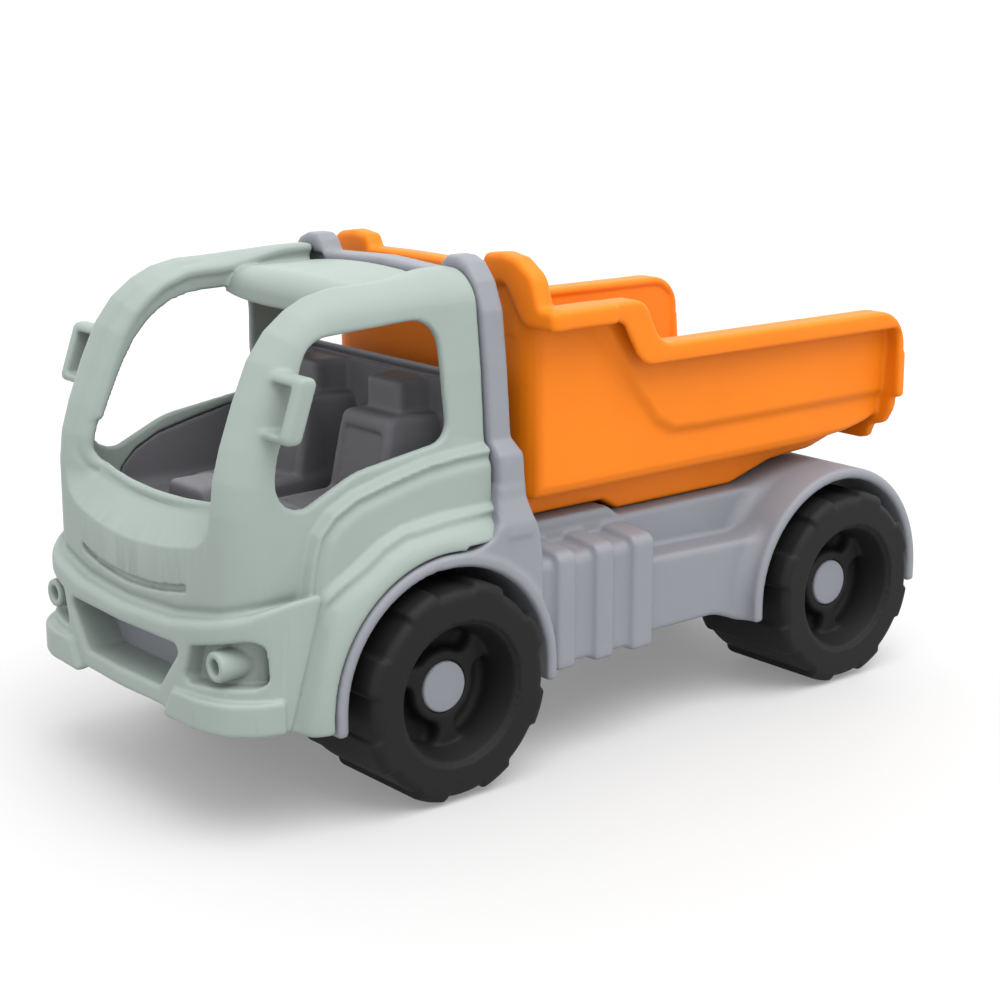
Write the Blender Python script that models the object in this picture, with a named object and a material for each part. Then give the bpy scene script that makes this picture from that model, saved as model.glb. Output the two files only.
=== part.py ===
"""Toy dump truck: a moulded plastic lorry with a tipping bin and four rolling wheels.

The truck's nose points to -Y, its left side is +X and +Z is up. The origin is on the
ground under the middle of the truck. Dimensions below are millimetres; solid() turns
them into metres when it makes a mesh.
"""
import math

import bmesh
import bpy
from mathutils import Matrix, Vector

MM = 0.001
GAP = 0.3                       # between pieces that touch

# Running gear
WHEELBASE = 165.0
AXLE_MIDDLE_Y = 16.0
FRONT_AXLE_Y = AXLE_MIDDLE_Y - WHEELBASE / 2
REAR_AXLE_Y = AXLE_MIDDLE_Y + WHEELBASE / 2
TYRE_RADIUS = 32.5
TYRE_OUTER_X = 66.0
TYRE_INNER_X = 25.0
AXLE_RADIUS = 2.0
AXLE_END_X = 55.0
HUB_CAP_RADIUS = 7.6
HUB_CAP_FACE_X = 57.5
HUB_CAP_SEAT_X = 53.9
TREAD_LUGS = 8
STEPS_PER_LUG = 3
TREAD_DEPTH = 1.3
HUB_SPOKE_ANGLES = (36.0, 156.0, 276.0)
HUB_SPOKE_HALF_WIDTH = 1.8

# Chassis
WALL = 2.6
SPINE_HALF_WIDTH = 21.0
SPINE_BOTTOM_Z = 24.0
FRONT_SPINE_Y = (-112.0, -29.0)
REAR_SPINE_Y = (61.0, 126.0)
REAR_SPINE_TOP_Z = 60.5
DECK_Y = (-30.0, 62.0)
DECK_TOP_Z = 70.0
CAB_DECK_TOP_Z = 74.0
BEAM_X = 55.0
BEAM_BOTTOM_Z = 29.0
FENDER_RADIUS = 39.9
FENDER_WELL_RADIUS = 36.6
FENDER_OUTER_X = 61.6
FENDER_END_Z = 27.0
TANK_OUTER_X = 59.4
TANK_Y = (-24.5, 16.3)

# Cab
CAB_REAR_Y = -47.5
CAB_FRONT_Y = -136.0
CAB_BOTTOM_Z = 28.0
CAB_ARCH_RADIUS = FENDER_RADIUS + 0.8
COLLAR_FRONT_Y = -47.0
COLLAR_REAR_Y = -36.0
COLLAR_BAND = 6.0
TUB_HALF_WIDTH = 51.5
TUB_FRONT_Y = -128.6
TUB_WALL = 2.2
SEAT_X = 21.0

# Bin
BIN_FRONT_Y = -29.0
BIN_REAR_Y = 130.5
BIN_HALF_WIDTH = 50.5
BIN_SKIRT_HALF_WIDTH = 46.0
RIM_OUTER_X = 59.4
HINGE_Y = 112.0
HINGE_Z = 68.0
HINGE_PIN_RADIUS = 2.0
LUG_X = (11.5, 16.8)
CHEEK_X = (17.2, SPINE_HALF_WIDTH)

# Fasteners
SCREW_HEAD_RADIUS = 2.8
SCREW_SHANK_RADIUS = 1.3
CAB_SCREW_X = 15.0
CAB_SCREW_Y = -117.5
RETAINER_SCREW_Y = 10.0

SAGE = (0.49, 0.60, 0.54, 1.0)
GREY = (0.34, 0.35, 0.40, 1.0)
ORANGE = (1.0, 0.27, 0.02, 1.0)
BLACK = (0.045, 0.045, 0.045, 1.0)
STEEL = (0.60, 0.60, 0.62, 1.0)


def clear_scene():
    for old in list(bpy.data.objects):
        bpy.data.objects.remove(old, do_unlink=True)


def material(name, colour, roughness, metallic=0.0):
    """The finish of one sub-part."""
    finish = bpy.data.materials.new(name)
    finish.use_nodes = True
    shader = finish.node_tree.nodes["Principled BSDF"]
    shader.inputs["Base Color"].default_value = colour
    shader.inputs["Roughness"].default_value = roughness
    shader.inputs["Metallic"].default_value = metallic
    return finish


def rounded(corners, steps=3):
    """Closed outline from (u, v) or (u, v, radius) corners, each radius drawn as an arc."""
    path = []
    for index, corner in enumerate(corners):
        here = Vector(corner[:2])
        radius = corner[2] if len(corner) > 2 else 0.0
        if radius == 0.0:
            path.append(here)
            continue
        before = (Vector(corners[index - 1][:2]) - here).normalized()
        after = (Vector(corners[(index + 1) % len(corners)][:2]) - here).normalized()
        half_turn = before.angle(after) / 2
        start = here + before * radius / math.tan(half_turn)
        centre = here + (before + after).normalized() * radius / math.sin(half_turn)
        sweep = (start - centre).angle_signed(here + after * radius / math.tan(half_turn) - centre)
        for step in range(steps + 1):
            spoke = Matrix.Rotation(-sweep * step / steps, 2) @ (start - centre)
            path.append(centre + spoke)
    return path


def arc(centre, radius, start, end, steps):
    """Points along an arc, angles in degrees from +u towards +v."""
    angles = [math.radians(start + (end - start) * step / steps) for step in range(steps + 1)]
    return [Vector((centre[0] + radius * math.cos(a), centre[1] + radius * math.sin(a))) for a in angles]


def mirrored(half):
    """Closed outline about u = 0 from its right half, listed from bottom to top."""
    return list(half) + [(-point[0],) + tuple(point[1:]) for point in reversed(half)]


def prism(outline, axis, low, high):
    """Outline extruded along X, Y or Z; its (u, v) are the two other axes in order."""
    place = {
        "X": lambda u, v: (low, u, v),
        "Y": lambda u, v: (u, low, v),
        "Z": lambda u, v: (u, v, low),
    }[axis]
    shift = {"X": (high - low, 0, 0), "Y": (0, high - low, 0), "Z": (0, 0, high - low)}[axis]
    mesh = bmesh.new()
    face = mesh.faces.new([mesh.verts.new(place(u, v)) for u, v in outline])
    raised = bmesh.ops.extrude_face_region(mesh, geom=[face])["geom"]
    moved = [item for item in raised if isinstance(item, bmesh.types.BMVert)]
    bmesh.ops.translate(mesh, verts=moved, vec=shift)
    return mesh


def box(x, y, z):
    """Block between the (low, high) pairs x, y and z."""
    return prism([(y[0], z[0]), (y[1], z[0]), (y[1], z[1]), (y[0], z[1])], "X", x[0], x[1])


def turned(profile, centre_y, centre_z, steps, reshape):
    """Closed (x, radius) profile spun round an axis along X; reshape(step, radius) varies it round."""
    mesh = bmesh.new()
    rings = []
    for step in range(steps):
        angle = 2 * math.pi * step / steps
        ring = []
        for x, radius in profile:
            reach = reshape(step, radius)
            place = (x, centre_y + reach * math.cos(angle), centre_z + reach * math.sin(angle))
            ring.append(mesh.verts.new(place))
        rings.append(ring)
    count = len(profile)
    for step in range(steps):
        near = rings[step]
        far = rings[(step + 1) % steps]
        for index in range(count):
            following = (index + 1) % count
            mesh.faces.new((near[index], near[following], far[following], far[index]))
    return mesh


def rod(axis, centre, radius, low, high, steps=20):
    """Round bar along an axis; centre holds its two other coordinates."""
    return prism(arc(centre, radius, 0, 360 * (steps - 1) / steps, steps - 1), axis, low, high)


def solid(name, mesh, finish=None, pivot=(0, 0, 0)):
    """Object from a bmesh in millimetres, with its origin at the pivot. No finish makes it a tool."""
    bmesh.ops.translate(mesh, verts=mesh.verts, vec=-Vector(pivot))
    bmesh.ops.scale(mesh, verts=mesh.verts, vec=(MM, MM, MM))
    bmesh.ops.recalc_face_normals(mesh, faces=mesh.faces)
    data = bpy.data.meshes.new(name)
    mesh.to_mesh(data)
    mesh.free()
    made = bpy.data.objects.new(name, data)
    made.location = Vector(pivot) * MM
    bpy.context.scene.collection.objects.link(made)
    if finish:
        data.materials.append(finish)
    else:
        made.hide_render = True
        made.display_type = "WIRE"
    return made


def combine(target, operation, *meshes):
    """Boolean steps between the target and shapes in millimetres."""
    for mesh in meshes:
        shape = mesh if isinstance(mesh, bpy.types.Object) else solid("tool_" + target.name, mesh)
        step = target.modifiers.new("step", "BOOLEAN")
        step.operation = operation
        step.solver = "EXACT"
        step.object = shape
    return target


def join(target, *meshes):
    return combine(target, "UNION", *meshes)


def cut(target, *meshes):
    return combine(target, "DIFFERENCE", *meshes)


def keep(target, *meshes):
    return combine(target, "INTERSECT", *meshes)


def smooth(target, angle=30):
    target.data.shade_smooth()
    target.data.set_sharp_from_angle(angle=math.radians(angle))
    return target


def fender_band(axle_y, outer, inner):
    """Arch outline in Y-Z between two radii, with straight ends down to the fender's lower edge."""
    drop = FENDER_END_Z
    outside = arc((axle_y, TYRE_RADIUS), outer, 0, 180, 18)
    inside = arc((axle_y, TYRE_RADIUS), inner, 180, 0, 18)
    return ([(axle_y + outer, drop)] + outside + [(axle_y - outer, drop), (axle_y - inner, drop)]
            + inside + [(axle_y + inner, drop)])


# ---------------------------------------------------------------- chassis

def beam_section(inset):
    """Half X-Z section of the side beam between the wheels, from bottom to top."""
    top = DECK_TOP_Z - inset
    return [
        (BEAM_X - inset, BEAM_BOTTOM_Z - inset),
        (BEAM_X - inset, 50.0 - inset),
        (51.0 - inset, 56.0 - inset),
        (50.0 - inset, 67.0 - inset),
        (46.0 - inset, top),
    ]


def chassis(finish):
    """Grey moulding: open-bottomed spine and side beams, four mudguards and the side tanks."""
    body = solid("chassis", prism(mirrored(beam_section(0.0)), "Y", *DECK_Y), finish)
    spine_x = (-SPINE_HALF_WIDTH, SPINE_HALF_WIDTH)
    join(body, box(spine_x, FRONT_SPINE_Y, (SPINE_BOTTOM_Z, CAB_DECK_TOP_Z)))
    join(body, box(spine_x, REAR_SPINE_Y, (SPINE_BOTTOM_Z, REAR_SPINE_TOP_Z)))
    for axle_y in (FRONT_AXLE_Y, REAR_AXLE_Y):
        for side in (-1, 1):
            span = sorted((side * (SPINE_HALF_WIDTH - 1.0), side * FENDER_OUTER_X))
            join(body, prism(fender_band(axle_y, FENDER_RADIUS, FENDER_WELL_RADIUS), "X", *span))
    for side in (-1, 1):
        join(body, prism([(side * u, v) for u, v in tank_outline()], "Y", *TANK_Y))
        pad = mirrored_span(side, 45.0, FENDER_OUTER_X - 0.4)
        join(body, prism([(-31.5, 50.0), (-29.0, 74.0), (-46.5, 74.0), (-46.5, 60.0)], "X", *pad))
        rail = mirrored_span(side, 46.6, 50.2)
        join(body, prism([(-32.0, 60.0), (8.0, 60.0), (8.0, 69.0), (1.0, 74.6), (-32.0, 74.6)], "X", *rail))
        cheek = mirrored_span(side, *CHEEK_X)
        join(body, prism(cheek_outline(), "X", *cheek))
    nose = [(-32.0, -127.5), (32.0, -127.5), (32.0, -106.0), (-32.0, -106.0)]
    join(body, prism(nose, "Z", 33.0, 36.5))
    join(body, box((-30.0, 30.0), (-126.0, -123.4), (34.0, 54.5)))
    hollow_x = (-SPINE_HALF_WIDTH + WALL, SPINE_HALF_WIDTH - WALL)
    cut(body, prism(mirrored(beam_section(WALL)), "Y", DECK_Y[0] + WALL, DECK_Y[1] - WALL))
    for side in (-1, 1):
        tank_hollow = mirrored_span(side, 48.0, TANK_OUTER_X - WALL)
        cut(body, box(tank_hollow, (TANK_Y[0] + WALL, TANK_Y[1] - WALL), (0.0, 60.0)))
    cut(body, box(hollow_x, (FRONT_SPINE_Y[0] + WALL, DECK_Y[0] + 2 * WALL), (0.0, CAB_DECK_TOP_Z - WALL)))
    cut(body, box(hollow_x, (DECK_Y[1] - 2 * WALL, REAR_SPINE_Y[1] - WALL), (0.0, REAR_SPINE_TOP_Z - WALL)))
    for axle_y in (FRONT_AXLE_Y, REAR_AXLE_Y):
        roof = (CAB_DECK_TOP_Z if axle_y < 0 else REAR_SPINE_TOP_Z) - 1.0
        for screw_y in (axle_y - RETAINER_SCREW_Y, axle_y + RETAINER_SCREW_Y):
            join(body, rod("Z", (0.0, screw_y), 4.0, 29.0, roof, 16))
            cut(body, rod("Z", (0.0, screw_y), SCREW_SHANK_RADIUS + 0.05, 20.0, 46.0, 12))
        slot = [(axle_y - 2.1, 10.0), (axle_y + 2.1, 10.0)]
        slot += arc((axle_y, TYRE_RADIUS), 2.1, 0, 180, 8)
        cut(body, prism(slot, "X", -SPINE_HALF_WIDTH - 5.0, SPINE_HALF_WIDTH + 5.0))
    for side in (-1, 1):
        cut(body, rod("Z", (side * CAB_SCREW_X, CAB_SCREW_Y), SCREW_SHANK_RADIUS + 0.15, 20.0, 40.0, 12))
    cut(body, rod("X", (HINGE_Y, HINGE_Z), HINGE_PIN_RADIUS + 0.04, -30.0, 30.0))
    return body


def mirrored_span(side, inner, outer):
    """(low, high) on X of a span on one side of the truck."""
    return tuple(sorted((side * inner, side * outer)))


def tank_outline():
    """X-Z outline of the ribbed side tank on the +X side."""
    return rounded([
        (BEAM_X - 6.0, 28.5),
        (TANK_OUTER_X, 28.5, 1.0),
        (TANK_OUTER_X, 62.5, 2.5),
        (51.0, 68.5, 1.0),
        (46.0, 68.5),
        (46.0, 50.0),
    ], 2)


def cheek_outline():
    """Y-Z outline of an upstand that holds the bin's hinge pin."""
    top = arc((HINGE_Y, HINGE_Z), 5.0, 0, 180, 10)
    foot_z = REAR_SPINE_TOP_Z - 1.0
    return [(HINGE_Y + 8.0, foot_z)] + top + [(HINGE_Y - 8.0, foot_z)]


# ---------------------------------------------------------------- collar behind the cab

def collar_half(inset):
    """Half X-Z outline of the hoop behind the cab, from bottom to top."""
    return [
        (60.0 - inset, 74.0 + GAP),
        (60.0 - inset, 77.0),
        (57.6 - inset, 84.0),
        (56.8 - inset, 97.0),
        (53.8 - inset, 101.5),
        (52.0 - inset, 125.0),
        (50.0 - inset, 138.0),
        (46.5 - inset * 0.9, 147.0 - inset * 0.7),
        (39.0 - inset * 0.6, 152.8 - inset),
        (31.0 - inset * 0.4, 152.8 - inset),
        (28.5 - inset * 0.4, 148.2 - inset),
        (0.0, 149.0 - inset),
    ]


def closed_half(half):
    """Mirror a half outline whose last point lies on u = 0."""
    return list(half) + [(-u, v) for u, v in reversed(half[:-1])]


def collar(finish):
    """Grey hoop and rear wall behind the seats, with a window above the wall."""
    hoop = solid("cab_collar", prism(closed_half(collar_half(0.0)), "Y", COLLAR_FRONT_Y, COLLAR_REAR_Y), finish)
    opening = closed_half([(u, max(v, 77.0)) for u, v in collar_half(COLLAR_BAND)])
    cut(hoop, prism(opening, "Y", COLLAR_FRONT_Y - 1.0, -42.5))
    window = rounded([(-42.0, 121.0, 3), (42.0, 121.0, 3), (40.0, 142.0, 5), (-40.0, 142.0, 5)])
    recess = closed_half([(u, max(v, 77.0)) for u, v in collar_half(COLLAR_BAND)])
    cut(hoop, prism(window, "Y", -60.0, -20.0))
    cut(hoop, prism(recess, "Y", -39.5, COLLAR_REAR_Y + 1.0))
    return hoop


# ---------------------------------------------------------------- cab shell

def cab_side(inset):
    """Y-Z outline of the cab, from the bottom rear corner round the roof to the nose."""
    return [
        (CAB_REAR_Y + (5.0 if inset else 0.0), CAB_BOTTOM_Z - inset),
        (CAB_REAR_Y + (5.0 if inset else 0.0), 149.8 - inset),
        (-93.0, 148.8 - inset),
        (-106.0 + inset * 0.4, 144.3 - inset * 0.9),
        (-115.0 + inset * 0.7, 136.0 - inset * 0.7),
        (-121.5 + inset, 124.0 - inset * 0.3),
        (-127.5 + inset, 108.0),
        (-131.5 + inset, 92.0),
        (-133.5 + inset, 76.0),
        (-135.0 + inset, 62.0),
        (CAB_FRONT_Y + inset, 56.0),
        (CAB_FRONT_Y + inset, 34.0),
        (-134.0 + inset, 31.0 - inset * 2),
        (-120.0, CAB_BOTTOM_Z - inset),
    ]


def cab_section(inset):
    """X-Z outline of the cab with its tumblehome and the flare over the front wheels."""
    half = [
        (61.6 - inset, CAB_BOTTOM_Z - inset),
        (61.6 - inset, 66.0),
        (59.5 - inset, 76.0),
        (57.0 - inset, 85.0),
        (56.0 - inset, 96.0),
        (52.5 - inset, 102.0),
        (50.8 - inset, 122.0),
        (48.8 - inset, 138.0),
        (45.5 - inset * 0.9, 145.5 - inset * 0.6),
        (39.5 - inset * 0.6, 149.9 - inset),
        (32.0 + inset * 0.7, 149.9 - inset),
        (30.0 + inset * 0.7, 145.2 - inset),
        (0.0, 146.8 - inset),
    ]
    return closed_half(half)


def cab_plan(inset):
    """X-Y outline of the cab with rounded front corners."""
    rear = CAB_REAR_Y + (5.0 if inset else 0.0)
    half = [
        (62.0 - inset, rear),
        (62.0 - inset, -108.0),
        (58.5 - inset, -119.0 + inset * 0.4),
        (52.0 - inset * 0.7, -127.5 + inset * 0.7),
        (42.0 - inset * 0.4, -132.8 + inset),
        (22.0, -135.4 + inset),
        (0.0, CAB_FRONT_Y + inset),
    ]
    return closed_half(half)


def cab_form(name, inset, finish=None):
    """Solid bounded by the side, front and plan outlines of the cab."""
    form = solid(name, prism(cab_side(inset), "X", -70.0, 70.0), finish)
    keep(form, prism(cab_section(inset), "Y", -150.0, 0.0))
    keep(form, prism(cab_plan(inset), "Z", 0.0, 170.0))
    return form


def side_window():
    """Y-Z outline of the window in a cab door."""
    return rounded([
        (-61.0, 105.0, 5.0),
        (-62.0, 137.0, 9.0),
        (-101.0, 134.5, 10.0),
        (-116.0, 104.0, 4.0),
        (-118.5, 90.0, 7.0),
        (-103.0, 96.0, 20.0),
    ], 4)


def headlamp(side):
    """Hollow lamp tube standing in the headlamp recess."""
    centre = (side * 43.7, 50.6)
    tube = solid("tool_lamp", rod("Y", centre, 4.8, -133.0, -121.0, 16))
    return cut(tube, rod("Y", centre, 2.4, -140.0, -126.0, 12))


def mirror_bracket(side):
    """Y-Z loop of a door mirror: an open bracket that stands out from the windscreen pillar."""
    outer = mirrored_span(side, 46.0, 61.5)
    loop = solid("tool_mirror", prism(rounded([
        (-126.0, 110.0, 1.5), (-117.0, 110.0, 1.5), (-111.0, 128.5, 1.5), (-120.0, 128.5, 1.5),
    ], 2), "X", *outer))
    space = mirrored_span(side, 40.0, 58.5)
    return cut(loop, prism([(-130.0, 113.0), (-110.0, 113.0), (-110.0, 125.5), (-130.0, 125.5)], "X", *space))


def cab_shell(finish):
    """Sage green cab: one thin moulding with open windows, grille, lamps, bumper and mirrors."""
    shell = cab_form("cab_shell", 0.0, finish)
    for side in (-1, 1):
        block = [
            (side * 24.0, -138.4), (side * 45.0, -137.0), (side * 56.0, -130.0),
            (side * 59.4, -119.0), (side * 50.0, -112.0), (side * 30.0, -124.0),
        ]
        join(shell, prism(block, "Z", 31.0, 40.5))
        join(shell, mirror_bracket(side))
    cut(shell, cab_form("tool_cab_inside", WALL))
    cut(shell, box((-70, 70), (-160, -40), (0, CAB_BOTTOM_Z)))
    for side in (-1, 1):
        span = mirrored_span(side, 16.0, 80.0)
        cut(shell, prism(arc((FRONT_AXLE_Y, TYRE_RADIUS), CAB_ARCH_RADIUS, -90, 250, 34), "X", *span))
        cut(shell, box(span, (FRONT_AXLE_Y - CAB_ARCH_RADIUS + 0.4, 0.0), (0.0, TYRE_RADIUS)))
    cut(shell, prism(side_window(), "X", -80.0, 80.0))
    screen = [(-30.0, 89.8), (30.0, 89.8), (36.0, 94.5), (36.0, 120.0), (33.5, 160.0)]
    screen += [(-33.5, 160.0), (-36.0, 120.0), (-36.0, 94.5)]
    cut(shell, prism(screen, "Y", -160.0, -82.0))
    cut(shell, prism(rounded([(-27.0, 35.5, 2), (27.0, 35.5, 2), (21.0, 53.5, 2), (-21.0, 53.5, 2)]),
                     "Y", -160.0, -128.0))
    cut(shell, box((-28.6, 28.6), (-160.0, -128.0), (66.5, 69.0)))
    for side in (-1, 1):
        lamp_hole = mirrored_span(side, 36.0, 51.5)
        cut(shell, box(lamp_hole, (-160.0, -129.0), (44.0, 57.5)))
        web = mirrored_span(side, 34.0, 53.0)
        join(shell, box(web, (-127.0, -124.6), (42.0, 59.5)))
        join(shell, headlamp(side))
        boss = solid("tool_boss", rod("Z", (side * CAB_SCREW_X, CAB_SCREW_Y), 3.8, 36.5 + GAP, 62.0, 16))
        join(boss, box(mirrored_span(side, CAB_SCREW_X - 1.2, CAB_SCREW_X + 1.2),
                       (-134.0, CAB_SCREW_Y), (56.0, 62.0)))
        join(shell, boss)
        cut(shell, rod("Z", (side * CAB_SCREW_X, CAB_SCREW_Y), SCREW_SHANK_RADIUS + 0.05, 30.0, 52.0, 12))
    return shell


# ---------------------------------------------------------------- cab interior

def tub_side(inset):
    """Y-Z outline of the tub that lines the cab below its windows; an inset raises its rim clear."""
    floor = CAB_DECK_TOP_Z + GAP + inset
    rear = CAB_REAR_Y - 0.5 - inset
    front = TUB_FRONT_Y + inset
    lift = inset * 9
    return [
        (rear, floor),
        (rear, 99.0 + lift),
        (-72.0, 97.5 + lift),
        (-100.0, 90.5 + lift),
        (front + 2.1, 85.0 + lift),
        (front, 77.0 + inset),
        (front, floor),
    ]


def tub_plan(inset):
    half = [
        (TUB_HALF_WIDTH - inset, CAB_REAR_Y - GAP),
        (TUB_HALF_WIDTH - inset, -106.0),
        (48.0 - inset, -118.0 + inset * 0.5),
        (40.0 - inset * 0.5, -125.5 + inset),
        (0.0, TUB_FRONT_Y + inset),
    ]
    return closed_half(half)


def seat(side):
    """Seat with a headrest: cushion, raked back and a head block, in Y-Z steps."""
    middle = side * SEAT_X
    lower = CAB_DECK_TOP_Z + 1.0
    cushion = solid("tool_seat", prism(rounded([
        (-48.5, lower), (-48.5, 82.0), (-92.0, 81.0, 3), (-94.0, lower),
    ]), "X", middle - 14.0, middle + 14.0))
    back = prism(rounded([
        (-48.5, 76.0), (-48.5, 107.0), (-66.0, 106.5, 3), (-70.5, 76.0),
    ]), "X", middle - 13.0, middle + 13.0)
    head = prism(rounded([
        (-48.5, 100.0), (-48.5, 118.0), (-60.0, 117.8, 2), (-62.0, 100.0),
    ]), "X", middle - 8.5, middle + 8.5)
    return join(cushion, back, head)


def cab_interior(finish):
    """Grey tub with two seats and a console, one moulding."""
    inner_x = TUB_HALF_WIDTH - TUB_WALL
    tub = solid("cab_interior", prism(tub_side(0.0), "X", -TUB_HALF_WIDTH, TUB_HALF_WIDTH), finish)
    keep(tub, prism(tub_plan(0.0), "Z", 60.0, 120.0))
    inside = solid("tool_tub_inside", prism(tub_side(TUB_WALL), "X", -inner_x, inner_x))
    keep(inside, prism(tub_plan(TUB_WALL), "Z", 60.0, 140.0))
    cut(tub, inside)
    for side in (-1, 1):
        join(tub, seat(side))
    console = [(-13.0, 75.0), (13.0, 75.0), (8.0, 89.0), (-8.0, 89.0)]
    join(tub, prism(console, "Y", -127.0, -104.0))
    return tub


# ---------------------------------------------------------------- dump bin

def bin_floor_line(lift):
    """Y-Z points of the bin's underside, front to rear, raised by the lift."""
    return [
        (BIN_FRONT_Y + 1.7 + lift, DECK_TOP_Z + GAP + 4.4 + lift * 0.4),
        (2.0, DECK_TOP_Z + GAP + 4.4 + lift * 0.4),
        (9.0, DECK_TOP_Z + GAP + lift),
        (62.0, DECK_TOP_Z + GAP + lift),
        (74.0, 74.4 + lift),
        (100.0, 74.4 + lift),
        (BIN_REAR_Y - 1.5, 81.0 + lift),
    ]


def bin_top_line(drop):
    """Y-Z points of the side wall's top edge, rear to front, lowered by the drop."""
    step = [(24.0, 123.0 - drop), (17.0, 125.5 - drop), (12.5, 131.0 - drop), (8.0, 136.0 - drop),
            (4.0, 137.4 - drop)]
    return [(122.0, 123.0 - drop)] + step + [(BIN_FRONT_Y + 1.7, 137.4 - drop)]


def bin_wall_section(inset):
    """X-Z outline of the bin's body: straight walls above a narrower skirt."""
    return mirrored([
        (BIN_SKIRT_HALF_WIDTH - inset, 60.0),
        (BIN_SKIRT_HALF_WIDTH - inset, 79.0 + inset * 0.4),
        (BIN_HALF_WIDTH - inset, 82.5 + inset * 0.4),
        (BIN_HALF_WIDTH + 1.5 - inset, 170.0),
    ])


def bin_body(name, inset, finish=None, pivot=(0, 0, 0)):
    """Solid of the bin's body, grown inwards by the inset and open to the rear and top."""
    if inset:
        side = bin_floor_line(inset) + [(BIN_REAR_Y + 9.0, 81.0 + inset), (BIN_REAR_Y + 9.0, 180.0),
                                        (BIN_FRONT_Y + 1.7 + inset, 180.0)]
    else:
        side = bin_floor_line(0.0) + [(BIN_REAR_Y - 1.5, 114.0)] + bin_top_line(0.4)
    body = solid(name, prism(side, "X", -60.0, 60.0), finish, pivot)
    return keep(body, prism(bin_wall_section(inset), "Y", -60.0, 160.0))


def rim_outline():
    """Y-Z band of the side rim: top edge, S-step, rear corner and the return under it."""
    top = [(BIN_REAR_Y, 93.0), (BIN_REAR_Y, 113.0), (127.5, 120.0), (121.0, 123.0)]
    lower = [(BIN_FRONT_Y, 131.2), (1.0, 131.2), (8.5, 121.0), (16.5, 117.0),
             (119.0, 116.8), (124.5, 112.0), (BIN_REAR_Y - 3.0, 106.0), (BIN_REAR_Y - 3.0, 93.0)]
    return top + bin_top_line(0.0)[1:-1] + [(BIN_FRONT_Y, 137.4)] + lower


def front_band():
    """X-Z strip of the raised rim across the bin's front, with an ear at each corner."""
    outside = [
        (61.2, 131.0), (61.2, 137.2), (54.0, 138.0), (50.5, 144.5), (45.0, 149.8),
        (38.0, 152.0), (30.0, 151.5), (27.5, 147.4), (0.0, 148.6),
    ]
    inside = [
        (0.0, 142.0), (29.0, 141.0), (36.5, 143.5), (41.5, 140.5), (44.5, 134.0), (49.0, 131.0),
    ]
    left = [(-u, v) for u, v in outside[:-1]]
    left_inside = [(-u, v) for u, v in inside[1:]]
    return outside + left[::-1] + left_inside[::-1] + inside


def rear_flange():
    """X-Z outline of the U-shaped flange round the bin's open rear end."""
    return mirrored([
        (44.5, 76.0), (47.5, 78.0), (48.5, 81.5), (53.0, 83.5), (55.7, 88.0), (56.3, 92.0),
        (RIM_OUTER_X, 93.0), (RIM_OUTER_X, 110.0), (49.5, 110.0), (47.6, 86.0), (43.6, 83.4),
    ])


def dump_bin(finish):
    """Orange tipping bin: thin walls, outturned rim and two hinge lugs under its rear end."""
    pivot = (0.0, HINGE_Y, HINGE_Z)
    tub = bin_body("dump_bin", 0.0, finish, pivot)
    front = [(BIN_FRONT_Y + 1.7, 130.0), (BIN_FRONT_Y + 4.3, 130.0), (BIN_FRONT_Y + 4.3, 145.0),
             (BIN_FRONT_Y + 1.7, 145.0)]
    cut(tub, bin_body("tool_bin_inside", WALL))
    join(tub, prism(front, "X", -43.0, 43.0))
    for side in (-1, 1):
        join(tub, prism(rim_outline(), "X", *mirrored_span(side, 49.4, RIM_OUTER_X)))
        join(tub, box(mirrored_span(side, 49.2, 61.2), (BIN_FRONT_Y + 0.6, -2.6), (131.0, 137.1)))
        lug = arc((HINGE_Y, HINGE_Z), 5.4, 180, 360, 10) + [(HINGE_Y + 8.0, 79.0), (HINGE_Y - 9.0, 76.5)]
        join(tub, prism(lug, "X", *mirrored_span(side, *LUG_X)))
    join(tub, prism(front_band(), "Y", BIN_FRONT_Y, -18.0))
    join(tub, prism(rear_flange(), "Y", BIN_REAR_Y - 3.0, BIN_REAR_Y))
    cut(tub, rod("X", (HINGE_Y, HINGE_Z), HINGE_PIN_RADIUS + 0.06, -30.0, 30.0))
    return tub


# ---------------------------------------------------------------- wheels and axles

def tread(step, radius):
    """Radius at one step round the tyre: each lug is raised for two steps and drops for one."""
    if radius < TYRE_RADIUS or step % STEPS_PER_LUG < STEPS_PER_LUG - 1:
        return radius
    return radius - TREAD_DEPTH


def wheel_profile():
    """(x, radius) section of the +X wheel: a hub tube, a dished web and a hollow tyre open inboard."""
    return [
        (TYRE_INNER_X + 1.0, AXLE_RADIUS + 0.05), (53.6, AXLE_RADIUS + 0.05), (53.6, HUB_CAP_RADIUS + 0.1),
        (56.8, HUB_CAP_RADIUS + 0.1), (56.8, 11.0), (50.5, 15.5), (61.0, 19.2),
        (TYRE_OUTER_X, 22.0), (TYRE_OUTER_X, 27.5), (62.8, TYRE_RADIUS), (28.2, TYRE_RADIUS),
        (TYRE_INNER_X, 29.5), (TYRE_INNER_X, 27.0), (30.0, 28.6), (60.5, 28.6), (62.5, 26.5),
        (62.5, 23.5), (58.0, 21.6), (47.0, 16.5), (50.5, 9.5), (49.5, 5.0), (TYRE_INNER_X + 1.0, 5.0),
    ]


def hub_spoke(side, axle_y, angle):
    """Web across the groove of a wheel's dish."""
    spoke = box(mirrored_span(side, 50.4, 56.8), (10.0, 17.6), (-HUB_SPOKE_HALF_WIDTH, HUB_SPOKE_HALF_WIDTH))
    bmesh.ops.rotate(spoke, verts=spoke.verts, matrix=Matrix.Rotation(math.radians(angle), 3, "X"))
    bmesh.ops.translate(spoke, verts=spoke.verts, vec=(0.0, axle_y, TYRE_RADIUS))
    return spoke


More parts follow.
